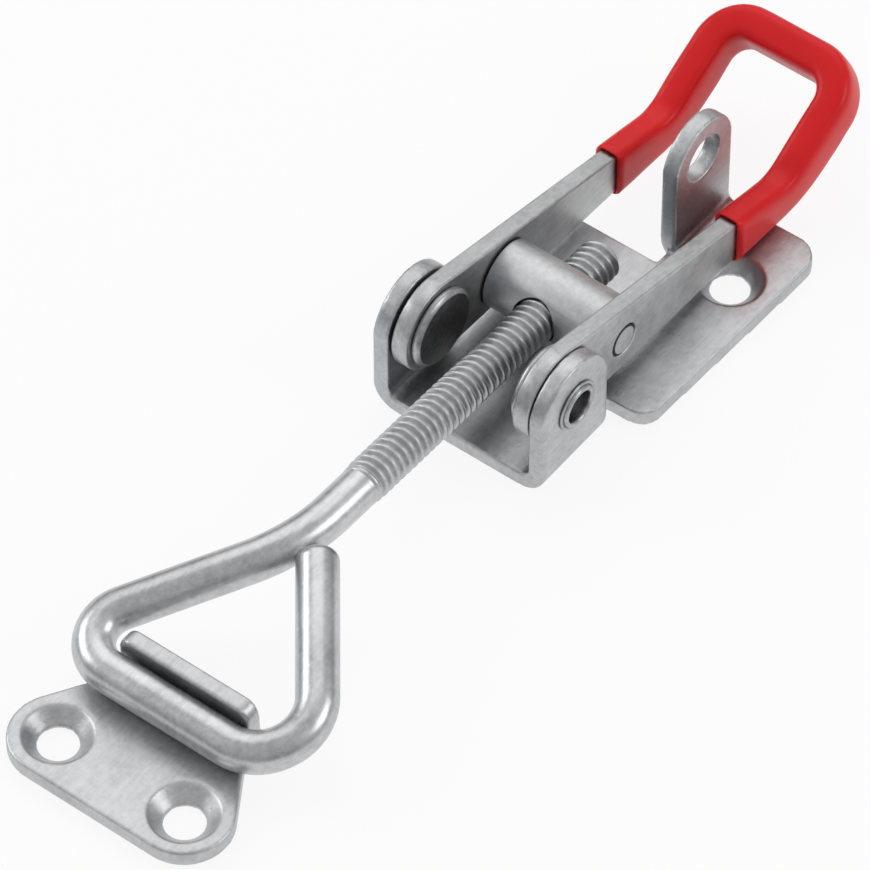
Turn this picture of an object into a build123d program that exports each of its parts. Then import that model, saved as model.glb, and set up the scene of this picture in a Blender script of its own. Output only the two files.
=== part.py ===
"""Adjustable over centre toggle latch with padlock lug and catch plate, closed.

Millimetres. X points from the handle pivot towards the catch plate, Y across the latch,
Z up from the face it is screwed to. The origin lies on that face, under the pivot axis.
"""
from math import cos, radians, sin, tan
import os

from build123d import *

# --- base plate: one folded sheet -------------------------------------------------
sheet = 2.5             # thickness of the base sheet
bend_in = 1.5           # inside radius of every fold in the base
bend_out = bend_in + sheet
ear_y = 14.2            # outer face of each ear, from the middle
ear_r = 7.3             # round top of an ear
ear_half = ear_r - 0.1  # half length of an ear along X
pivot_z = 12.5          # height of the handle pivot
neck_y = 11.6           # half width of the sheet behind the ears
wide_front = 10.5       # start of the wide part, behind the pivot
wide_front_y = 18.2     # right edge of the sheet where the wide part starts
wide_rear_y = 19.6      # right edge at the rear end
left_y = 16.6           # left edge
plate_rear = 49.6       # rear end of the sheet
left_rear = 34.0        # rear edge of the left side, where the lug is slit off
front_corner_r = 3.0
rear_corner_r = 4.0
screw_r = 2.7           # clearance hole for the fixing screws
sink_r = 4.8            # mouth of each countersink
right_screw = (-37.6, 12.4)
left_screw = (-21.5, -10.5)

# --- padlock lug, folded up from the left side ------------------------------------
lug_y = 1.0             # outer (left) face of the lug
lug_front = 36.8        # front edge of the lug
lug_half = (plate_rear - lug_front) / 2
lug_mid = lug_front + lug_half
lug_eye_z = 16.0        # height of the padlock eye
lug_eye_r = 3.5
slit_y = 2.6            # inner end of the relief slit in front of the lug

# --- handle: one strip bent into a U ----------------------------------------------
strip = 2.6             # thickness of the strip
arm_gap = 0.35          # side clearance between an arm and its ear
arm_y = ear_y - sheet - arm_gap      # outer face of an arm
arm_in = arm_y - strip               # inner face of an arm
arm_r = 6.9             # round front end of an arm
top_slope = 12.4        # fall of the arm's top edge towards the grip, degrees
bottom_slope = 2.5      # fall of its bottom edge, degrees
grip_angle = 30.0       # rise of the grip, degrees
grip_mid = (-59.3, 8.9)  # a point on the middle line of the rising grip
grip_h = 6.2            # height of the strip in the grip
grip_end = 11.6         # length of the grip beyond that point, to the cross bar's outer face
turn_in = 2.6           # inside radius of the two corners of the U
bottom_bend_r = 20.0
top_bend_r = 6.0

# --- dipped grip coating -----------------------------------------------------------
coat = 0.6              # thickness over the strip's top and bottom edges
side_coat = 1.0         # thickness on its faces, which the dip leaves fuller
grip_start = 39.8       # where the coating starts, behind the pivot
coat_round = 1.3        # rounding of its edges
bow_margin = 0.3        # straight run left between the arms and the corners of the U

# --- pivot rivets -------------------------------------------------------------------
rivet_r = 3.0           # shank
rivet_run = 0.06        # radial running clearance in the handle
head_r = arm_r - 1.0
head_t = 1.1
head_gap = 0.15         # clearance between head and arm
head_bevel = 0.8
ring_r = 3.75           # rolled end outside the ear
ring_h = 0.8
ring_bore_r = 2.3       # hollow that the end is rolled out of
ring_bore_depth = 3.2

# --- trunnion -----------------------------------------------------------------------
trunnion_x = -14.6
trunnion_z = 10.15
trunnion_r = 5.1
journal_r = 2.4         # turned ends, riveted flush into the arms
journal_run = 0.05      # radial running clearance in the arms
trunnion_gap = 0.1      # clearance between the barrel and each arm

# --- hook rod -----------------------------------------------------------------------
thread_r = 3.12         # outside radius of the rolled thread
thread_run = 0.08       # radial clearance in the trunnion
shank_r = 2.9           # plain wire
rod_tilt = 2.5          # rise of the rod towards the hook, degrees
rod_rear = 10.8         # thread beyond the middle of the trunnion, to the rear
rod_chamfer = 0.8       # on its rear end
thread_front = 43.2     # thread in front of it
apex = 55.5             # rod's middle line from the trunnion to the point of the loop
apex_bend = 6.9         # length of rod that the bend there takes up on each side
bar_x = 68.1            # cross bar of the loop
bar_z = 5.9
left_corner_y = -19.8   # where the middle lines of leg and bar meet
right_corner_y = 24.3
left_corner_r = 5.2     # bend radius of the middle line
right_corner_r = 7.3
free_end = (0.1, 2.6)   # end of the free leg, along and across the loop from its point

# --- catch plate --------------------------------------------------------------------
catch_t = 2.5
catch_screw_x = 77.9
catch_screw_y = 10.4    # half the hole spacing
catch_screw_r = 2.7
catch_sink_r = 4.9
catch_corner_r = 6.7
tab_half = 10.6         # half width of the upturned tab
tab_top = 9.6           # height of the tab
tab_lean = 4.0          # lean of the tab over the bar, degrees
tab_bar_gap = 0.3       # clearance between the tab and the bar
tab_corner_r = 2.0
catch_bend_in = 1.0

os.makedirs("parts", exist_ok=True)
pivot_axis = Axis((0, 0, pivot_z), (0, 1, 0))


def side_hole(x, z, radius, reach):
    """Cut a hole along Y through the part being built."""
    with BuildSketch(Plane.XZ) as hole:
        with Locations((x, z)):
            Circle(radius)
    extrude(hole.sketch, amount=reach, both=True, mode=Mode.SUBTRACT)


# ---- base plate ----
# The front of the sheet is a U channel; its sides are the two ears.
with BuildPart() as ears:
    with BuildSketch(Plane.YZ.offset(-ear_half)):
        with BuildLine():
            Polyline(
                (-ear_y, pivot_z + ear_r), (-ear_y, 0), (ear_y, 0), (ear_y, pivot_z + ear_r), close=True
            )
        make_face()
        fillet(vertices().group_by(Axis.Y)[0], bend_out)
    extrude(amount=2 * ear_half)
    with BuildSketch(Plane.YZ.offset(-ear_half)):
        with BuildLine():
            Polyline(
                (sheet - ear_y, pivot_z + ear_r),
                (sheet - ear_y, sheet),
                (ear_y - sheet, sheet),
                (ear_y - sheet, pivot_z + ear_r),
                close=True,
            )
        make_face()
        fillet(vertices().group_by(Axis.Y)[0], bend_in)
    extrude(amount=2 * ear_half, mode=Mode.SUBTRACT)
    with BuildSketch(Plane.XZ):
        with Locations((0, pivot_z / 2)):
            Rectangle(2 * ear_half, pivot_z)
        with Locations((0, pivot_z)):
            Circle(ear_r)
    extrude(amount=ear_y, both=True, mode=Mode.INTERSECT)
    side_hole(0, pivot_z, rivet_r, ear_y)

# The lug is folded up along its own line, with the sheet's fold radii.
with BuildPart() as lug:
    with BuildSketch(Plane.YZ.offset(-plate_rear)):
        with BuildLine():
            Polyline(
                (lug_y, lug_eye_z + lug_half),
                (lug_y, 0),
                (lug_y + bend_out + sheet, 0),
                (lug_y + bend_out + sheet, lug_eye_z + lug_half),
                close=True,
            )
        make_face()
        fillet(vertices().group_by(Axis.Y)[0].sort_by(Axis.X)[0], bend_out)
    extrude(amount=plate_rear - lug_front)
    with BuildSketch(Plane.YZ.offset(-plate_rear)):
        with BuildLine():
            Polyline(
                (lug_y + sheet, lug_eye_z + lug_half),
                (lug_y + sheet, sheet),
                (lug_y + bend_out + 2 * sheet, sheet),
                (lug_y + bend_out + 2 * sheet, lug_eye_z + lug_half),
                close=True,
            )
        make_face()
        fillet(vertices().group_by(Axis.Y)[0].sort_by(Axis.X)[0], bend_in)
    extrude(amount=plate_rear - lug_front, mode=Mode.SUBTRACT)
    with BuildSketch(Plane.XZ):
        with Locations((-lug_mid, lug_eye_z / 2)):
            Rectangle(2 * lug_half, lug_eye_z)
        with Locations((-lug_mid, lug_eye_z)):
            Circle(lug_half)
    extrude(amount=2 * ear_y, both=True, mode=Mode.INTERSECT)
    side_hole(-lug_mid, lug_eye_z, lug_eye_r, ear_y)

with BuildPart() as base_plate:
    with BuildSketch():
        with BuildLine():
            Polyline(
                (-ear_half, -neck_y),
                (-ear_half, neck_y),
                (-wide_front, neck_y),
                (-wide_front, wide_front_y),
                (-plate_rear, wide_rear_y),
                (-plate_rear, lug_y + bend_out),
                (-lug_front, lug_y + bend_out),
                (-lug_front, slit_y),
                (-left_rear, slit_y),
                (-left_rear, -left_y),
                (-wide_front, -left_y),
                (-wide_front, -neck_y),
                close=True,
            )
        make_face()
        fillet(vertices().sort_by_distance((-wide_front, wide_front_y))[0], front_corner_r)
        fillet(vertices().sort_by_distance((-wide_front, -left_y))[0], front_corner_r)
        fillet(vertices().sort_by_distance((-plate_rear, wide_rear_y))[0], rear_corner_r)
        fillet(vertices().sort_by_distance((-left_rear, -left_y))[0], rear_corner_r)
    extrude(amount=sheet)
    add(ears.part)
    add(lug.part)
    with Locations((*right_screw, sheet), (*left_screw, sheet)):
        CounterSinkHole(radius=screw_r, counter_sink_radius=sink_r, depth=sheet, counter_sink_angle=90)
base_plate.part.label = "base_plate"
export_step(base_plate.part, "parts/base_plate.step")


# ---- handle and its dipped grip ----
# Side view: each arm falls towards the grip between two straight edges, both tangent to
# its round front end, then narrows and rises at the grip angle. In the plane of the
# rising grip the strip goes round as a U. A skin is a coating's thickness over the edges
# of the strip, and a side skin its thickness over the faces.
grip_tilt = radians(grip_angle)
bow_start = grip_end - strip - side_coat - turn_in - bow_margin
bow_x = grip_mid[0] - bow_start * cos(grip_tilt)
bow_z = grip_mid[1] + bow_start * sin(grip_tilt)
grip_plane = Plane(
    origin=(bow_x, 0, bow_z),
    x_dir=(-cos(grip_tilt), 0, sin(grip_tilt)),
    z_dir=(sin(grip_tilt), 0, cos(grip_tilt)),
)


def tangent_point(side, skin):
    """Where an arm's top (+1) or bottom (-1) edge leaves the round front end."""
    angle = radians(top_slope if side > 0 else bottom_slope)
    radius = arm_r + skin
    return -side * radius * sin(angle), pivot_z + side * radius * cos(angle)


def grip_point(side, skin):
    """Where the grip's U takes over from the arm's top (+1) or bottom (-1) edge."""
    half = side * (grip_h / 2 + skin)
    return bow_x + half * sin(grip_tilt), bow_z + half * cos(grip_tilt)


def bend_point(side, skin):
    """Where the arm's edge and the rising edge of the grip meet."""
    fall = tan(radians(top_slope if side > 0 else bottom_slope))
    start = tangent_point(side, skin)
    end = grip_point(side, skin)
    x = (end[1] - start[1] + fall * start[0] + tan(grip_tilt) * end[0]) / (fall + tan(grip_tilt))
    return x, start[1] + fall * (x - start[0])


def bent_strip(skin, side_skin, rounding):
    """The U-shaped strip, or with skins the outside of its coating."""
    width = strip + 2 * side_skin
    height = grip_h + 2 * skin
    with BuildPart() as arms:
        with BuildSketch(Plane.XZ.offset(-arm_in + side_skin)):
            with BuildLine():
                Polyline(
                    tangent_point(1, skin),
                    bend_point(1, skin),
                    grip_point(1, skin),
                    grip_point(-1, skin),
                    bend_point(-1, skin),
                    tangent_point(-1, skin),
                )
                RadiusArc(tangent_point(-1, skin), tangent_point(1, skin), arm_r + skin, short_sagitta=False)
            make_face()
            fillet(vertices().sort_by_distance(bend_point(1, skin))[0], top_bend_r - skin)
            fillet(vertices().sort_by_distance(bend_point(-1, skin))[0], bottom_bend_r + skin)
        extrude(amount=-width)
        if rounding:
            fillet(edges().filter_by(Axis.Y, reverse=True).filter_by(off_the_joint), rounding)
        mirror(about=Plane.XZ)
    length = grip_end - bow_start + side_skin
    inside = length - width
    with BuildPart() as bow:
        with BuildSketch(grip_plane.offset(-height / 2)):
            with Locations((length / 2, 0)):
                Rectangle(length, 2 * (arm_y + side_skin))
            fillet(vertices().group_by(Axis.X)[-1], turn_in + width)
            with Locations((inside / 2, 0)):
                Rectangle(inside, 2 * (arm_in - side_skin), mode=Mode.SUBTRACT)
            fillet(vertices().filter_by_position(Axis.X, inside - 0.01, inside + 0.01), turn_in)
        extrude(amount=height)
        if rounding:
            fillet(edges().filter_by(off_the_joint).filter_by(along_the_bow), rounding)
    return arms.part + bow.part


def off_the_joint(edge):
    """True for an edge that doesn't lie in the plane where arms and bow meet."""
    return abs(grip_plane.to_local_coords(edge.center()).X) > 0.01


def along_the_bow(edge):
    """True for an edge of the bow's top or bottom outline."""
    return abs(grip_plane.to_local_coords(edge.center()).Z) > grip_h / 2


with BuildPart() as handle:
    add(bent_strip(0, 0, 0))
    side_hole(0, pivot_z, rivet_r + rivet_run, ear_y)
    side_hole(trunnion_x, trunnion_z, journal_r + journal_run, ear_y)
handle.part.label = "handle"
export_step(handle.part, "parts/handle.step")

with BuildPart() as handle_grip:
    add(bent_strip(coat, side_coat, coat_round))
    split(bisect_by=Plane.YZ.offset(-grip_start), keep=Keep.BOTTOM)
    add(handle.part, mode=Mode.SUBTRACT)
handle_grip.part.label = "handle_grip"
export_step(handle_grip.part, "parts/handle_grip.step")


# ---- pivot rivets ----
# Turned section: wide head inside the arm, shank through arm and ear, rolled ring outside.
def pivot_rivet(side):
    head_out = arm_in - head_gap
    head_top = head_out - head_t
    ring_top = ear_y + ring_h
    with BuildPart() as rivet:
        with BuildSketch(Plane.YZ):
            with BuildLine():
                Polyline(
                    (side * head_top, pivot_z),
                    (side * head_top, pivot_z + head_r - head_bevel),
                    (side * (head_top + head_bevel), pivot_z + head_r),
                    (side * head_out, pivot_z + head_r),
                    (side * head_out, pivot_z + rivet_r),
                    (side * ear_y, pivot_z + rivet_r),
                    (side * ear_y, pivot_z + ring_r),
                    (side * (ring_top - ring_h / 2), pivot_z + ring_r),
                    (side * ring_top, pivot_z + ring_r - ring_h / 2),
                    (side * ring_top, pivot_z + ring_bore_r),
                    (side * (ring_top - ring_bore_depth), pivot_z + ring_bore_r),
                    (side * (ring_top - ring_bore_depth), pivot_z),
                    close=True,
                )
            make_face()
        revolve(axis=pivot_axis)
    return rivet.part


for side, name in ((-1, "pivot_rivet_left"), (1, "pivot_rivet_right")):
    rivet_solid = pivot_rivet(side)
    rivet_solid.label = name
    export_step(rivet_solid, f"parts/{name}.step")


# ---- trunnion ----
rod_dir = Vector(cos(radians(rod_tilt)), 0, sin(radians(rod_tilt)))
trunnion_mid = Vector(trunnion_x, 0, trunnion_z)
with BuildPart() as trunnion:
    with BuildSketch(Plane.XZ):
        with Locations((trunnion_x, trunnion_z)):
            Circle(trunnion_r)
    extrude(amount=arm_in - trunnion_gap, both=True)
    with BuildSketch(Plane.XZ):
        with Locations((trunnion_x, trunnion_z)):
            Circle(journal_r)
    extrude(amount=arm_y, both=True)
    with BuildSketch(Plane(origin=trunnion_mid, z_dir=rod_dir)):
        Circle(thread_r + thread_run)
    extrude(amount=2 * trunnion_r, both=True, mode=Mode.SUBTRACT)
trunnion.part.label = "trunnion"
export_step(trunnion.part, "parts/trunnion.step")


# ---- hook rod ----
# Threaded wire; at the loop's point it bends aside into the left leg, goes round the
# cross bar, and the free leg comes back to lie against the shank.
def on_rod(distance):
    return trunnion_mid + rod_dir * distance


apex_point = on_rod(apex)
bar_mid = Vector(bar_x, 0, bar_z)
loop_dir = (bar_mid - apex_point).normalized()
loop_length = (bar_mid - apex_point).length
loop_plane = Plane(origin=apex_point, x_dir=loop_dir, z_dir=loop_dir.cross(Vector(0, 1, 0)))
left_leg_dir = (Vector(bar_x, left_corner_y, bar_z) - apex_point).normalized()
leg_start = apex_point + left_leg_dir * apex_bend
leg_start_local = loop_plane.to_local_coords(leg_start)

with BuildPart() as hook_rod:
    with BuildSketch(Plane(origin=on_rod(-rod_rear), z_dir=rod_dir)):
        Circle(thread_r)
    extrude(amount=rod_rear + thread_front)
    chamfer(faces().sort_by(Axis.X)[0].edges(), rod_chamfer)
    with BuildSketch(Plane(origin=on_rod(thread_front), z_dir=rod_dir)):
        Circle(shank_r)
    extrude(amount=apex - apex_bend - thread_front)
    with BuildLine() as point_bend:
        Spline(on_rod(apex - apex_bend), leg_start, tangents=(rod_dir, left_leg_dir))
    with BuildSketch(Plane(origin=on_rod(apex - apex_bend), z_dir=rod_dir)):
        Circle(shank_r)
    sweep(path=point_bend.line)
    with BuildLine(loop_plane) as loop_line:
        FilletPolyline(
            (leg_start_local.X, leg_start_local.Y),
            (loop_length, left_corner_y),
            (loop_length, right_corner_y),
            free_end,
            radius=(left_corner_r, right_corner_r),
        )
    with BuildSketch(Plane(origin=leg_start, z_dir=left_leg_dir)):
        Circle(shank_r)
    sweep(path=loop_line.line)
hook_rod.part.label = "hook_rod"
export_step(hook_rod.part, "parts/hook_rod.step")


# ---- catch plate ----
# The tab stands behind the loop's bar, on the latch's side, and leans over it.
tab_face_x = bar_x - shank_r - tab_bar_gap          # where the tab passes the bar
lean = tan(radians(tab_lean))
tab_root_x = tab_face_x - lean * (bar_z - catch_t)
tab_tip_x = tab_face_x + lean * (tab_top - bar_z)
tab_thick_x = catch_t / cos(radians(tab_lean))
with BuildPart() as tab:
    with BuildSketch(Plane.XZ):
        with BuildLine():
            Polyline(
                (tab_tip_x, tab_top),
                (tab_root_x, catch_t),
                (catch_screw_x, catch_t),
                (catch_screw_x, 0),
                (tab_root_x - tab_thick_x - lean * catch_t, 0),
                (tab_tip_x - tab_thick_x, tab_top),
                close=True,
            )
        make_face()
        fillet(vertices().sort_by_distance((tab_root_x, catch_t))[0], catch_bend_in)
        fillet(vertices().sort_by_distance((tab_root_x - tab_thick_x, 0))[0], catch_bend_in + catch_t)
    extrude(amount=tab_half, both=True)
    with BuildSketch(Plane.YZ):
        with Locations((0, tab_top / 2)):
            Rectangle(2 * tab_half, tab_top)
        fillet(vertices().group_by(Axis.Y)[-1], tab_corner_r)
    extrude(amount=2 * catch_screw_x, both=True, mode=Mode.INTERSECT)

with BuildPart() as catch_plate:
    with BuildSketch():
        with Locations((catch_screw_x, catch_screw_y), (catch_screw_x, -catch_screw_y)):
            Circle(catch_corner_r)
        with Locations((tab_root_x + catch_bend_in, 0)):
            Rectangle(0.4, 2 * tab_half)
        make_hull()
    extrude(amount=catch_t)
    add(tab.part)
    with Locations((catch_screw_x, catch_screw_y, catch_t), (catch_screw_x, -catch_screw_y, catch_t)):
        CounterSinkHole(
            radius=catch_screw_r, counter_sink_radius=catch_sink_r, depth=catch_t, counter_sink_angle=90
        )
catch_plate.part.label = "catch_plate"
export_step(catch_plate.part, "parts/catch_plate.step")
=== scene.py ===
"""Adjustable over centre toggle latch, closed, with its catch plate hooked on."""
import math

import bmesh
import bpy
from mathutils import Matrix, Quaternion, Vector, noise


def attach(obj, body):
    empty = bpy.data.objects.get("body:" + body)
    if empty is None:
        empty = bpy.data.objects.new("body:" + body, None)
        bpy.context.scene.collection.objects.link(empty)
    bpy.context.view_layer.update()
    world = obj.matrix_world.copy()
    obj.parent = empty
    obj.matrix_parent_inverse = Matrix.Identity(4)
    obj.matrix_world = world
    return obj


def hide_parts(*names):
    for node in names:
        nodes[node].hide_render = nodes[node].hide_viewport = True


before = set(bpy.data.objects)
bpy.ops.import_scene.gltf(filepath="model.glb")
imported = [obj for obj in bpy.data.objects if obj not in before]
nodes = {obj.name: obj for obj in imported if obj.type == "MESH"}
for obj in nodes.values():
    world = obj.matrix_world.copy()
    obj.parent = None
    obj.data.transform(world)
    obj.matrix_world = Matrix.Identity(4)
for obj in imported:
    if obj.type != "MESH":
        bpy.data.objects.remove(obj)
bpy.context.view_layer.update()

MM = 0.001


# ---- Camera and light ----
# The latch lies on a white sheet. A long lens looks down on it from the catch's end, and
# wide dim panels overhead and beside it give the zinc its soft light and dark faces.
azimuth, elevation = math.radians(37.452), math.radians(49.701)
camera_distance = 934.93 * MM
aim_right, aim_up = -7.279 * MM, -2.469 * MM
focal_pixels, frame_pixels = 7000, 870

back = Vector((
    math.cos(elevation) * math.cos(azimuth),
    math.cos(elevation) * math.sin(azimuth),
    math.sin(elevation),
))
right = Vector((-math.sin(azimuth), math.cos(azimuth), 0.0))
up = back.cross(right)
camera = bpy.data.objects.new("camera", bpy.data.cameras.new("camera"))
bpy.context.scene.collection.objects.link(camera)
camera.data.sensor_width = 36.0
camera.data.lens = focal_pixels / frame_pixels * camera.data.sensor_width
camera.data.clip_start, camera.data.clip_end = 0.05, 20.0
camera.location = back * camera_distance + right * aim_right + up * aim_up
camera.rotation_mode = "QUATERNION"
camera.rotation_quaternion = (-back).to_track_quat("-Z", "Y")
bpy.context.scene.camera = camera
bpy.context.scene.view_settings.view_transform = "Standard"
lamp_target = Vector((0.0, 0.0, 0.01))


def panel(name, place, size, power):
    """A soft rectangular lamp that faces the latch."""
    light = bpy.data.lights.new(name, "AREA")
    light.shape = "RECTANGLE"
    light.size, light.size_y = size
    light.energy = power
    lamp = bpy.data.objects.new(name, light)
    bpy.context.scene.collection.objects.link(lamp)
    lamp.location = place
    lamp.rotation_mode = "QUATERNION"
    lamp.rotation_quaternion = (Vector(place) - lamp_target).to_track_quat("Z", "Y")


panel("top_panel", (-0.45, -0.35, 0.75), (0.9, 0.9), 2.3)
panel("left_panel", (0.30, -0.75, 0.45), (0.6, 0.4), 2.2)
panel("right_panel", (-0.35, 0.75, 0.50), (0.5, 0.4), 2.0)


# ---- Base plate ----
# The base is one sheet of steel, blanked, folded up into two ears and a padlock lug, then
# tumbled and zinc plated, so its faces are a soft satin and its cut edges are worn round.
class Socket:
    """One socket of a material's nodes, on which sums are written as sums."""

    def __init__(self, tree, socket):
        self.tree, self.socket = tree, socket

    def math(self, operation, other=0.0, swapped=False, clamp=False):
        """One Math node on this value and another, in that order unless they are swapped."""
        node = self.tree.nodes.new("ShaderNodeMath")
        node.operation, node.use_clamp = operation, clamp
        for slot, value in zip(node.inputs, (other, self) if swapped else (self, other)):
            plug(self.tree, slot, value)
        return Socket(self.tree, node.outputs[0])

    def __add__(self, other):
        return self.math("ADD", other)

    def __radd__(self, other):
        return self.math("ADD", other, swapped=True)

    def __sub__(self, other):
        return self.math("SUBTRACT", other)

    def __rsub__(self, other):
        return self.math("SUBTRACT", other, swapped=True)

    def __mul__(self, other):
        return self.math("MULTIPLY", other)

    def __rmul__(self, other):
        return self.math("MULTIPLY", other, swapped=True)

    def __abs__(self):
        return self.math("ABSOLUTE")

    def __gt__(self, other):
        return self.math("GREATER_THAN", other)

    def __lt__(self, other):
        return self.math("LESS_THAN", other)

    def clamped(self):
        return self.math("ADD", clamp=True)


def plug(tree, slot, value):
    """Links a socket to an input, or sets the input to a plain value."""
    if isinstance(value, Socket):
        tree.links.new(value.socket, slot)
    else:
        slot.default_value = value


class Finish:
    """A material, or the world, whose surface is written node by node."""

    def __init__(self, owner):
        self.owner = owner
        owner.use_nodes = True
        self.tree = owner.node_tree
        self.tree.nodes.clear()

    def node(self, kind, output=0, settings=None, **values):
        """One node of that kind: its settings first, then its inputs by name, _ for a space."""
        node = self.tree.nodes.new("ShaderNode" + kind)
        for key, value in (settings or {}).items():
            if key == "stops":
                ramp = node.color_ramp.elements
                while len(ramp) < len(value):
                    ramp.new(0.5)
                for stop, (place, shade) in zip(ramp, value):
                    stop.position = place
                    stop.color = (*shade, 1.0) if hasattr(shade, "__len__") else (shade, shade, shade, 1.0)
            else:
                setattr(node, key, value)
        for key, value in values.items():
            plug(self.tree, node.inputs[key.replace("_", " ")], value)
        return Socket(self.tree, node.outputs[output])

    def place(self):
        """Where a point of the surface lies in the part's own frame, in metres."""
        return self.node("TexCoord", "Object")

    def stretched(self, scale):
        return self.node("Mapping", Vector=self.place(), Scale=scale)

    def noise(self, scale, detail=3.0, roughness=0.5, vector=None):
        where = vector or self.place()
        return self.node("TexNoise", "Fac", Vector=where, Scale=scale, Detail=detail, Roughness=roughness)

    def ramp(self, value, *stops):
        return self.node("ValToRGB", "Color", {"stops": stops}, Fac=value)

    def mix(self, factor, low, high):
        """A colour between two colours."""
        node = self.tree.nodes.new("ShaderNodeMix")
        node.data_type = "RGBA"
        for number, value in ((0, factor), (6, low), (7, high)):
            plug(self.tree, node.inputs[number], value)
        return Socket(self.tree, node.outputs[2])

    def blend(self, factor, first, second):
        """A surface between two surfaces."""
        node = self.tree.nodes.new("ShaderNodeMixShader")
        for slot, value in zip(node.inputs, (factor, first, second)):
            plug(self.tree, slot, value)
        return Socket(self.tree, node.outputs[0])

    def bump(self, height, strength, distance):
        return self.node("Bump", "Normal", Height=height, Strength=strength, Distance=distance)

    def shade(self, **values):
        """Ends the material in one Principled surface with these inputs."""
        self.close(self.node("BsdfPrincipled", "BSDF", **values))
        return self.owner

    def close(self, shader, kind="OutputMaterial"):
        out = self.tree.nodes.new("ShaderNode" + kind)
        self.tree.links.new(shader.socket, out.inputs["Surface"])


def zinc(name, tone, grain, polish, scratch=0.0):
    """Zinc plate over steel: cloudy satin with a fine grain, small pits and faint scratches."""
    finish = Finish(bpy.data.materials.new(name))
    clouds = finish.noise(140.0, 4.0, 0.62)
    mottle = finish.noise(1100.0, 3.0, 0.6)
    grit = finish.noise(3800.0, 2.0, 0.6)
    pits = finish.ramp(finish.noise(1700.0, 1.0, 0.4), (0.30, 0.0), (0.40, 1.0))
    drawn = finish.noise(260.0, 2.0, 0.5, finish.stretched((1.0, 9.0, 9.0)))
    tint = clouds * 0.45 + mottle * 0.35 + drawn * 0.2
    dull = tuple(part * 0.74 for part in tone)
    bright = tuple(part * 1.20 for part in tone)
    shade = finish.ramp(tint, (0.34, dull), (0.52, tone), (0.68, bright))
    rough = polish - 0.08 + clouds * 0.12 + mottle * 0.12
    height = mottle * 0.7 + grit * 0.3 + pits * 0.5 + drawn * scratch
    return finish.shade(
        Base_Color=shade, Metallic=1.0, Roughness=rough, Normal=finish.bump(height, 0.30 * grain, 0.05 * MM)
    )


def paint(node, material):
    """Gives a node of the frame this material all over."""
    node.data.materials.clear()
    node.data.materials.append(material)


def tumble(node, fineness, rounds):
    """Wears all of a sheet part's cut edges round, as a tumbling drum does."""
    cast = node.modifiers.new("even_mesh", "REMESH")
    cast.mode, cast.voxel_size = "VOXEL", fineness
    cast.use_smooth_shade = True
    worn = node.modifiers.new("worn", "SMOOTH")
    worn.factor, worn.iterations = 0.5, rounds


def ease_edges(node, width):
    """Rounds a turned or bent part's edges by this width."""
    same_point, same_plane, sharp = 0.002 * MM, math.radians(0.6), math.radians(32)
    weld = node.modifiers.new("weld", "WELD")
    weld.merge_threshold = same_point
    whole = node.modifiers.new("whole_faces", "DECIMATE")
    whole.decimate_type, whole.angle_limit = "DISSOLVE", same_plane
    bevel = node.modifiers.new("edges", "BEVEL")
    bevel.width, bevel.segments = width, 3
    bevel.limit_method, bevel.angle_limit = "ANGLE", sharp
    bevel.use_clamp_overlap, bevel.loop_slide = False, False
    bevel.harden_normals = True


base_tone, base_grain, base_polish = (0.50, 0.505, 0.515), 1.5, 0.38
base_fineness, base_wear = 0.25 * MM, 9
paint(nodes["base_plate"], zinc("base_zinc", base_tone, base_grain, base_polish))
tumble(nodes["base_plate"], base_fineness, base_wear)


# ---- Handle ----
# The handle is one strip of steel bent into a U, with round ends drilled for the rivets,
# tumbled and zinc plated before its closed end is dipped.
handle_tone, handle_grain, handle_polish, handle_scratch = (0.50, 0.505, 0.51), 1.2, 0.38, 0.4
handle_edge = 0.35 * MM
paint(nodes["handle"], zinc("handle_zinc", handle_tone, handle_grain, handle_polish, handle_scratch))
ease_edges(nodes["handle"], handle_edge)


# ---- Trunnion ----
# The trunnion is a turned steel bar across the arms, cross drilled and tapped for the rod,
# with its ends turned down and riveted flush into the arms.
trunnion_mid = Vector((-14.6, 0.0, 10.15)) * MM
barrel_end, journal_r, tapped_r = 8.65 * MM, 2.4 * MM, 3.12 * MM
rod_tilt = math.radians(2.5)    # of the rod, and of the hole it runs in
# Widths of the painted shade: near-black rims that stand for the gaps at the journals, the shoulders and
# the rod's hole.
journal_shade_width, shoulder_shade_width, hole_shade_width = 0.32 * MM, 0.25 * MM, 0.3 * MM     # widths of the dark rims
barrel_edge, slack = 0.25 * MM, 0.1 * MM


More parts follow.
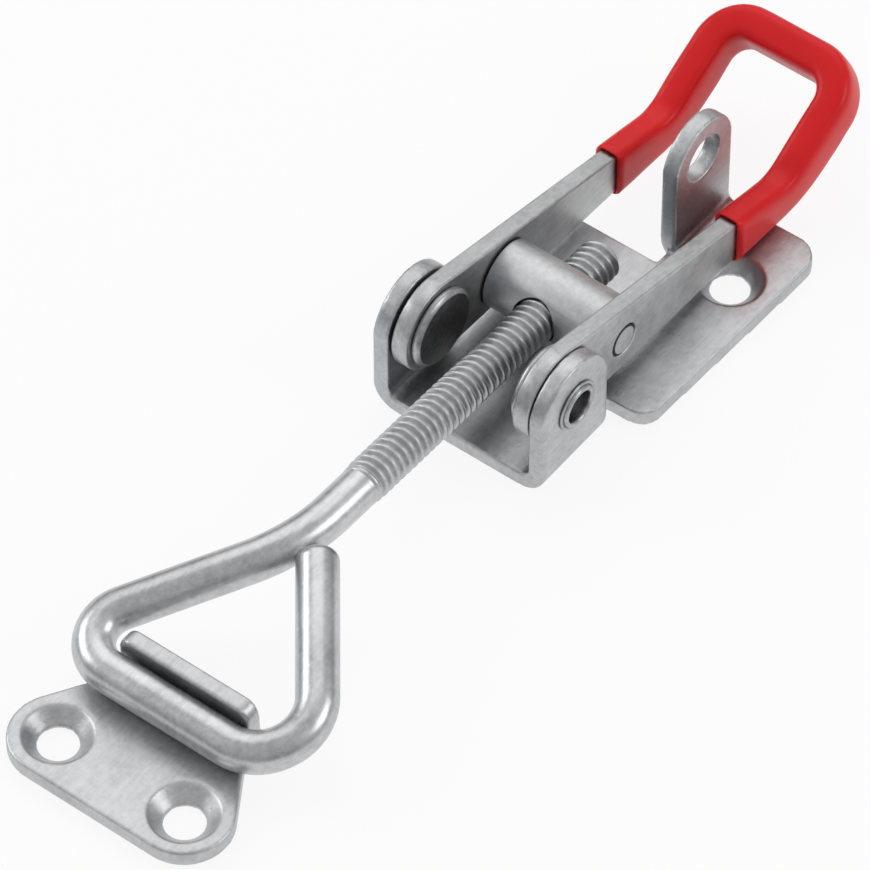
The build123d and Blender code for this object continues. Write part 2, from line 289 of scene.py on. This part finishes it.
def trunnion_with_painted_shade():
    """Turned zinc plated steel with fine lathe lines, with painted shade where it meets the arms and the
    rod.
    """
    finish = Finish(bpy.data.materials.new("trunnion_zinc"))
    clouds = finish.noise(160.0, 4.0, 0.6)
    mottle = finish.noise(1200.0, 3.0, 0.6)
    turned = finish.noise(500.0, 2.0, 0.6, finish.stretched((0.4, 6.0, 0.4)))
    shade = finish.ramp(
        clouds * 0.5 + mottle * 0.5,
        (0.34, (0.47, 0.475, 0.48)),
        (0.54, (0.58, 0.585, 0.59)),
        (0.70, (0.66, 0.665, 0.67)),
    )
    spot = finish.node("Mapping", Vector=finish.place(), Location=-trunnion_mid)
    from_axis = finish.node("Mapping", Vector=spot, Scale=(1.0, 0.0, 1.0))
    from_axis = finish.node("VectorMath", "Value", {"operation": "LENGTH"}, Vector=from_axis)
    from_rod = finish.node("Mapping", Vector=spot, Rotation=(0.0, rod_tilt, 0.0))
    from_rod = finish.node("Mapping", Vector=from_rod, Scale=(0.0, 1.0, 1.0))
    from_rod = finish.node("VectorMath", "Value", {"operation": "LENGTH"}, Vector=from_rod)
    along = finish.node("SeparateXYZ", "Y", Vector=spot)
    along = abs(along)
    # Painted shade: near-black rings round the journals in the arms, at the shoulders against the arms and
    # round the rod's hole.
    journal_shade = (from_axis > journal_r - journal_shade_width) * (along > barrel_end + slack)
    shoulder_shade = (along > barrel_end - shoulder_shade_width) * (from_axis > journal_r + 2 * slack)
    hole_shade = from_rod < tapped_r + hole_shade_width
    painted_shade = journal_shade.math("MAXIMUM", shoulder_shade).math("MAXIMUM", hole_shade)
    return finish.shade(
        Base_Color=finish.mix(painted_shade, shade, (0.05, 0.05, 0.05, 1.0)),
        Metallic=1.0,
        Roughness=0.38 + clouds * 0.1 + mottle * 0.08,
        Normal=finish.bump(turned * 0.6 + mottle * 0.5, 0.25, 0.05 * MM),
    )


paint(nodes["trunnion"], trunnion_with_painted_shade())
ease_edges(nodes["trunnion"], barrel_edge)


# ---- Hook rod: thread ----
# The rod is drawn steel wire with a rolled quarter inch coarse thread, whose crests are
# rounded, then zinc plated. Its rear end is chamfered.
thread_r, thread_depth, thread_pitch = 3.12 * MM, 0.74 * MM, 1.27 * MM
shank_r = 2.9 * MM
rod_rear, rod_chamfer, thread_front = 10.8 * MM, 0.8 * MM, 43.2 * MM
thread_fade = 2.2 * MM          # over which the thread runs out into the plain wire
thread_sides, rings_a_turn = 56, 12
root_share, flank_share = 0.16, 0.62        # of half a pitch
rod_tone = (0.56, 0.565, 0.575)
rod_dir = Vector((math.cos(rod_tilt), 0.0, math.sin(rod_tilt)))


def skin_of(name, rings, material):
    """A closed smooth mesh through rings of points, its two ends capped."""
    mesh = bmesh.new()
    rows = [[mesh.verts.new(point) for point in ring] for ring in rings]
    for row, following in zip(rows, rows[1:]):
        for number in range(len(row)):
            after = (number + 1) % len(row)
            mesh.faces.new((row[number], row[after], following[after], following[number]))
    caps = [mesh.faces.new(reversed(rows[0])), mesh.faces.new(rows[-1])]
    bmesh.ops.recalc_face_normals(mesh, faces=mesh.faces)
    for face in mesh.faces:
        face.smooth = face not in caps
    for cap in caps:
        for edge in cap.edges:
            edge.smooth = False
    data = bpy.data.meshes.new(name)
    mesh.to_mesh(data)
    mesh.free()
    data.materials.append(material)
    piece = bpy.data.objects.new(name, data)
    bpy.context.scene.collection.objects.link(piece)
    return piece


def circle_of(centre, across, upward, radii):
    """Points round a centre, one for each radius."""
    points = []
    for number, radius in enumerate(radii):
        angle = math.tau * number / len(radii)
        points.append(centre + (across * math.cos(angle) + upward * math.sin(angle)) * radius)
    return points


def thread_radius(distance, turn):
    """The thread's radius at a distance from the trunnion and a share of a turn."""
    phase = (distance / thread_pitch - turn) % 1.0
    rise = abs(2.0 * phase - 1.0)                       # 1 on the crest, 0 in the root
    rise = min(1.0, max(0.0, (rise - root_share) / flank_share))
    rise = rise * rise * (3.0 - 2.0 * rise)
    radius = thread_r - thread_depth * (1.0 - rise)
    plain = min(1.0, max(0.0, (distance - (thread_front - thread_fade)) / thread_fade))
    radius += (shank_r - radius) * plain
    return min(radius, thread_r - rod_chamfer + (distance + rod_rear))


rod_across = Vector((0.0, 1.0, 0.0))
rod_upward = rod_dir.cross(rod_across)
thread_rings = []
ring_count = round((rod_rear + thread_front) / thread_pitch * rings_a_turn)
for ring in range(ring_count + 1):
    distance = -rod_rear + (rod_rear + thread_front) * ring / ring_count
    radii = [thread_radius(distance, side / thread_sides) for side in range(thread_sides)]
    thread_rings.append(circle_of(trunnion_mid + rod_dir * distance, rod_across, rod_upward, radii))
thread_zinc = zinc("thread_zinc", rod_tone, grain=0.8, polish=0.42)
rod_thread = skin_of("rod_thread", thread_rings, thread_zinc)
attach(rod_thread, "hook")
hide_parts("hook_rod")


# ---- Hook rod: loop ----
# In front of its thread the wire bends aside at the loop's point, runs down the left leg
# and round the cross bar, and its free leg comes back to lie against the shank.
apex, apex_bend = 55.5 * MM, 6.9 * MM
bar_x, bar_z = 68.1 * MM, 5.9 * MM
left_corner_y, right_corner_y = -19.8 * MM, 24.3 * MM
left_corner_r, right_corner_r = 5.2 * MM, 7.3 * MM
free_along, free_across = -0.6 * MM, 2.6 * MM
wire_sides = 40
end_round = 1.7 * MM            # rounding of the free end
thread_lap = 0.5 * MM           # how far the plain wire starts inside the thread
bend_steps, left_steps, right_steps = 14, 18, 22
end_steps = (0.0, 0.3, 0.55, 0.75, 0.9, 0.98, 1.0)


def rounded_corner(before, corner, after, radius, steps):
    """Points of the arc that rounds a corner between two straight runs."""
    to_before = (before - corner).normalized()
    to_after = (after - corner).normalized()
    half = to_before.angle(to_after) / 2
    centre = corner + (to_before + to_after).normalized() * radius / math.sin(half)
    arm = corner + to_before * radius / math.tan(half) - centre
    axis = to_after.cross(to_before)
    sweep = math.pi - 2 * half
    return [centre + Quaternion(axis, sweep * step / steps) @ arm for step in range(steps + 1)]


def tube_rings(path, radii, sides, across):
    """Rings square to a path, carried along it without twisting."""
    rings = []
    heading = (path[1] - path[0]).normalized()
    for number, point in enumerate(path):
        ahead = path[min(number + 1, len(path) - 1)]
        behind = path[max(number - 1, 0)]
        new_heading = (ahead - behind).normalized()
        across = heading.rotation_difference(new_heading) @ across
        heading = new_heading
        rings.append(circle_of(point, across, heading.cross(across), [radii[number]] * sides))
    return rings


point_of_loop = trunnion_mid + rod_dir * apex
bar_mid = Vector((bar_x, 0.0, bar_z))
loop_dir = (bar_mid - point_of_loop).normalized()
left_corner = Vector((bar_x, left_corner_y, bar_z))
right_corner = Vector((bar_x, right_corner_y, bar_z))
free_end = point_of_loop + loop_dir * free_along + Vector((0.0, free_across, 0.0))
leg_dir = (left_corner - point_of_loop).normalized()
bend_start = trunnion_mid + rod_dir * (apex - apex_bend)
bend_end = point_of_loop + leg_dir * apex_bend
bend_pull = (bend_end - bend_start).length / 3
wire = [trunnion_mid + rod_dir * (thread_front - thread_lap)]
for step in range(bend_steps + 1):
    share = step / bend_steps
    wire.append(
        bend_start * (1 - share) ** 3
        + (bend_start + rod_dir * bend_pull) * 3 * share * (1 - share) ** 2
        + (bend_end - leg_dir * bend_pull) * 3 * share ** 2 * (1 - share)
        + bend_end * share ** 3
    )
wire += rounded_corner(bend_end, left_corner, right_corner, left_corner_r, left_steps)
wire += rounded_corner(left_corner, right_corner, free_end, right_corner_r, right_steps)
free_dir = (free_end - right_corner).normalized()
wire_radii = [shank_r] * len(wire)
for share in end_steps:
    wire.append(free_end - free_dir * end_round * (1 - share))
    wire_radii.append(shank_r - end_round * (1 - math.sqrt(1 - share ** 2)))
wire_zinc = zinc("wire_zinc", rod_tone, grain=0.5, polish=0.29, scratch=0.3)
rod_loop = skin_of("rod_loop", tube_rings(wire, wire_radii, wire_sides, rod_across), wire_zinc)
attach(rod_loop, "hook")
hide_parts("hook_rod")


# ---- Pivot rivets ----
# Two turned steel rivets carry the arms on the ears. Each has a wide bevelled head inside
# its arm, and its hollow end is rolled over outside its ear.
pivot = Vector((0.0, 0.0, 12.5)) * MM
rivet_r, head_r, ring_r, hollow_r = 3.0 * MM, 5.9 * MM, 3.75 * MM, 2.4 * MM
roll_r = 3.2 * MM               # outside of the rolled lip, inside the ring's flat
head_face, head_back, ear_face = 7.5 * MM, 8.6 * MM, 14.2 * MM
ring_top, hollow_floor = 15.0 * MM, 11.8 * MM
head_bevel, lip = 0.5 * MM, 0.45 * MM
flat_in, flat_step = 0.1 * MM, 0.04 * MM        # rounding where the head's flat meets its bevel
bevel_edge, back_edge = 0.12 * MM, 0.05 * MM    # and at its outer edge, front and back
ring_side, ring_flat = 0.25 * MM, 0.38 * MM     # heights of the ring's side and flat
groove_floor, groove_side = 0.12 * MM, 0.08 * MM
centre_r = 0.1 * MM             # of the small flats that close the two ends
# Bounds of the painted shade on the head's flat face and in the hollow.
head_shade_slack, hollow_shade_slack = 0.02 * MM, 0.04 * MM
shank_before_shade = 1.0 * MM          # behind the head, before the hollow's dark tone starts
rivet_sides, lip_steps = 72, 8


def rivet_profile():
    """Distance from the middle plane and radius, from the head's face to the hollow's floor."""
    profile = [
        (head_face, centre_r),
        (head_face, head_r - head_bevel - flat_in),
        (head_face + flat_step, head_r - head_bevel),
        (head_face + head_bevel - bevel_edge, head_r - bevel_edge),
        (head_face + head_bevel, head_r),
        (head_back - back_edge, head_r),
        (head_back, head_r - back_edge),
        (head_back, rivet_r),
        (ear_face, rivet_r),
        (ear_face, ring_r),
        (ear_face + ring_side, ring_r),
        (ear_face + ring_flat, ring_r - (ring_flat - ring_side)),
        (ear_face + ring_flat, roll_r + groove_floor),
        (ear_face + groove_floor, roll_r + groove_side),
        (ear_face + groove_floor, roll_r),
    ]
    middle = (roll_r + hollow_r) / 2
    half = (roll_r - hollow_r) / 2
    for step in range(lip_steps + 1):
        angle = math.pi * step / lip_steps
        profile.append((ring_top - lip + lip * math.sin(angle), middle + half * math.cos(angle)))
    profile += [(hollow_floor + lip, hollow_r), (hollow_floor, hollow_r - lip), (hollow_floor, centre_r)]
    return profile


def rivet_with_painted_shade():
    """The same zinc, with painted shade on the head's flat face and in the hollow."""
    finish = Finish(bpy.data.materials.new("rivet_zinc"))
    mottle = finish.noise(1300.0, 3.0, 0.6)
    depth = finish.node("SeparateXYZ", "Y", Vector=finish.place())
    depth = abs(depth)
    # Painted shade: the head's flat face, which faces in between the arms, and the rolled end's hollow get
    # a dark colour.
    face = depth < head_face + head_shade_slack
    hollow_shade = (depth > head_back + shank_before_shade) * (depth < ear_face + groove_floor + hollow_shade_slack)
    shade = finish.ramp(mottle, (0.35, (0.36, 0.36, 0.37)), (0.65, (0.48, 0.485, 0.49)))
    painted_shade = finish.ramp(mottle, (0.35, (0.13, 0.13, 0.135)), (0.65, (0.22, 0.22, 0.225)))
    return finish.shade(
        Base_Color=finish.mix(face + hollow_shade, shade, painted_shade),
        Metallic=1.0,
        Roughness=0.30 + mottle * 0.12,
        Normal=finish.bump(mottle, 0.25, 0.04 * MM),
    )


rivet_zinc = rivet_with_painted_shade()
forward, upright = Vector((1.0, 0.0, 0.0)), Vector((0.0, 0.0, 1.0))
for side, hand in (("left", -1), ("right", 1)):
    rings = []
    for away, radius in rivet_profile():
        centre = pivot + Vector((0.0, hand * away, 0.0))
        rings.append(circle_of(centre, forward, upright, [radius] * rivet_sides))
    rivet = skin_of("rivet_" + side, rings, rivet_zinc)
    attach(rivet, "base")
    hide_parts("pivot_rivet_" + side)


# ---- Catch plate ----
# The catch is a blanked and folded piece of the same sheet, with two countersunk holes and
# an upturned tab that leans over the loop's bar.
catch_tone, catch_grain, catch_polish = (0.53, 0.535, 0.545), 1.2, 0.38
catch_fineness, catch_wear = 0.22 * MM, 18
paint(nodes["catch_plate"], zinc("catch_zinc", catch_tone, catch_grain, catch_polish))
tumble(nodes["catch_plate"], catch_fineness, catch_wear)


# ---- Dipped grip ----
# The closed end of the handle is dipped in soft red vinyl, which rounds the strip's edges
# off, stands a little proud at its rim and is slightly uneven along its length.
strip_thick, arm_mid_y = 2.6 * MM, 10.05 * MM
pivot_z, arm_r = 12.5 * MM, 6.9 * MM
top_slope, bottom_slope = math.radians(12.4), math.radians(2.5)
grip_tilt = math.radians(30.0)
grip_mid = Vector((-59.3, 0.0, 8.9)) * MM
grip_h, grip_end = 6.2 * MM, 11.6 * MM
bow_along = 4.1 * MM            # from the grip's middle to where its legs are straight again
coat, side_coat = 0.6 * MM, 1.0 * MM
grip_start = 39.8 * MM
top_bend_r, bottom_bend_r = 5.4 * MM, 20.6 * MM
turn_r = 4.9 * MM               # of the middle line, at the corners of the U
bend_points, turn_points, station_gap = 12, 14, 1.0 * MM
grip_back = Vector((-math.cos(grip_tilt), 0.0, math.sin(grip_tilt)))
grip_up = Vector((math.sin(grip_tilt), 0.0, math.cos(grip_tilt)))


def grip_edge(side, slope, radius):
    """The coated top (+1) or bottom (-1) edge of a leg, seen from the side."""
    skin = arm_r + coat
    tangent = Vector((-side * skin * math.sin(slope), 0.0, pivot_z + side * skin * math.cos(slope)))
    falling = Vector((-math.cos(slope), 0.0, -math.sin(slope)))
    start = tangent + falling * ((tangent.x + grip_start) / math.cos(slope))
    end = grip_mid + grip_back * bow_along + grip_up * side * (grip_h / 2 + coat)
    run = ((end - start).cross(grip_back)).y / (falling.cross(grip_back)).y
    corner = start + falling * run
    return [start, *rounded_corner(start, corner, end, radius, bend_points), end]


def grip_ring(centre, outward, upward, half_width, half_height, squareness=4.0, points=44):
    """A rounded oblong round the strip."""
    ring = []
    for number in range(points):
        angle = math.tau * number / points
        across, along = math.cos(angle), math.sin(angle)
        across = math.copysign(abs(across) ** (2 / squareness), across)
        along = math.copysign(abs(along) ** (2 / squareness), along)
        ring.append(centre + outward * across * half_width + upward * along * half_height)
    return ring


def finer(stations, longest):
    """Adds stations between those that are further apart than this."""
    result = [stations[0]]
    for before, after in zip(stations, stations[1:]):
        parts = max(1, math.ceil((after[0] - before[0]).length / longest))
        for part in range(1, parts + 1):
            share = part / parts
            result.append(tuple(a + (b - a) * share for a, b in zip(before, after)))
    return result


half_width = strip_thick / 2 + side_coat
bar_fuller = 0.35 * MM          # more coat on the cross bar, where the dip drained last
leg_fuller = 0.2 * MM           # and on the legs' upper ends
sideways = Vector((0.0, 1.0, 0.0))
to_arm = sideways * arm_mid_y
leg = []
edges = list(zip(grip_edge(1, top_slope, top_bend_r), grip_edge(-1, bottom_slope, bottom_bend_r)))
for number, (top, bottom) in enumerate(edges):
    centre = (top + bottom) / 2 + to_arm
    upward, half_height = (top - bottom).normalized(), (top - bottom).length / 2
    width = half_width + leg_fuller * number / (len(edges) - 1)
    leg.append((centre, sideways, upward, half_height, width))
bow_start = leg[-1][0]
bar_reach = grip_end + side_coat - half_width - bow_along
corner = bow_start + grip_back * bar_reach
turn = rounded_corner(bow_start, corner, corner - to_arm, turn_r, turn_points)
for number, point in enumerate(turn):
    angle = math.pi / 2 * number / (len(turn) - 1)
    outward = sideways * math.cos(angle) + grip_back * math.sin(angle)
    fuller = bar_fuller * math.sin(angle)
    width = half_width + leg_fuller + (bar_fuller - leg_fuller) * math.sin(angle)
    leg.append((point + grip_back * fuller, outward, grip_up, grip_h / 2 + coat, width))


def mirrored(station):
    """The same station on the left leg."""
    centre, outward, *rest = station
    flip = Vector((1.0, -1.0, 1.0))
    return centre * flip, outward * flip, *rest


stations = finer(leg + [mirrored(station) for station in reversed(leg)], station_gap)
rim_depth, rim_gap, rim_round = 1.6 * MM, 0.14 * MM, 0.25 * MM
rim_in, rim_down = 0.4 * MM, 0.15 * MM
mouth_squareness, rim_squareness = 8.0, 5.0
rims = []
inside = Vector((-1.0, 0.0, 0.0))
for centre, outward, upward, half_height, _ in (stations[0], stations[-1]):
    mouth_width, mouth_height = strip_thick / 2 + rim_gap, half_height - coat + 2 * rim_gap
    rim = [
        grip_ring(centre + inside * depth, outward, upward, mouth_width, mouth_height, mouth_squareness)
        for depth in (rim_depth, rim_round / 2)
    ]
    edge_width, edge_height = half_width - rim_in, half_height - rim_down
    rim.append(grip_ring(centre, outward, upward, edge_width, edge_height, rim_squareness))
    rim.append(grip_ring(centre + inside * rim_round, outward, upward, half_width, half_height))
    rims.append(rim)
broad_wave, fine_wave = 140.0, 420.0
broad_swell, fine_swell = 0.07 * MM, 0.02 * MM
body_rings = []
for centre, outward, upward, half_height, width in stations[1:-1]:
    ring = grip_ring(centre, outward.normalized(), upward.normalized(), width, half_height)
    uneven = []
    for point in ring:
        swell = noise.noise(point * broad_wave) * broad_swell
        swell += noise.noise(point * fine_wave) * fine_swell
        uneven.append(point + (point - centre).normalized() * swell)
    body_rings.append(uneven)


def red_vinyl():
    """Soft dipped vinyl: deep red with faint clouds and a fine, slightly dimpled skin."""
    finish = Finish(bpy.data.materials.new("red_vinyl"))
    clouds = finish.noise(70.0, 3.0, 0.5)
    dimples = finish.noise(900.0, 2.0, 0.5)
    fine = finish.noise(3000.0, 2.0, 0.5)
    shade = finish.ramp(clouds, (0.32, (0.62, 0.005, 0.008)), (0.70, (0.72, 0.010, 0.013)))
    return finish.shade(
        Base_Color=shade,
        Roughness=0.27 + clouds * 0.08 + dimples * 0.08,
        Specular_IOR_Level=0.26,
        Normal=finish.bump(dimples * 0.7 + fine * 0.3, 0.10, 0.05 * MM),
    )


vinyl = red_vinyl()
grip_skin = skin_of("grip_skin", rims[0] + body_rings + rims[1][::-1], vinyl)
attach(grip_skin, "lever")
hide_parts("handle_grip")


# ---- Floor and surroundings ----
# A plain white sheet keeps the latch's soft shadow. The surround lights the latch more dimly
# near the horizon, which darkens the sides of its parts, and is itself seen as plain white.
def white_sheet():
    """Matt white, seen as plain white with the shadow laid over it."""
    finish = Finish(bpy.data.materials.new("white_sheet"))
    seen = finish.node("LightPath", "Is Camera Ray") + finish.node("LightPath", "Is Glossy Ray")
    seen = (seen + finish.node("LightPath", "Is Transmission Ray")).clamped()
    matt = finish.node("BsdfDiffuse", "BSDF", Color=(0.86, 0.86, 0.86, 1.0))
    plain = finish.node("Emission", "Emission", Color=(1.0, 1.0, 1.0, 1.0), Strength=1.0)
    finish.close(finish.blend(seen * 0.88, matt, plain))
    return finish.owner


floor_half = 3.0
floor_drop = 0.4 * MM
mesh = bpy.data.meshes.new("floor")
mesh.from_pydata(
    [(x * floor_half, y * floor_half, 0.0) for x, y in ((-1, -1), (1, -1), (1, 1), (-1, 1))],
    [],
    [(0, 1, 2, 3)],
)
floor = bpy.data.objects.new("floor", mesh)
floor.location.z = -floor_drop
bpy.context.scene.collection.objects.link(floor)
mesh.materials.append(white_sheet())

world = bpy.data.worlds.new("world")
bpy.context.scene.world = world
sky = Finish(world)
height = sky.node("SeparateXYZ", "Z", Vector=sky.node("TexCoord", "Generated"))
dome = sky.ramp(height, (0.0, 0.42), (0.18, 0.55), (0.42, 0.85), (0.75, 1.0))
lit = sky.node("Background", "Background", Color=dome, Strength=0.62)
shown = sky.node("Background", "Background", Color=(1.0, 1.0, 1.0, 1.0), Strength=1.0)
sky.close(sky.blend(sky.node("LightPath", "Is Camera Ray"), lit, shown), "OutputWorld")
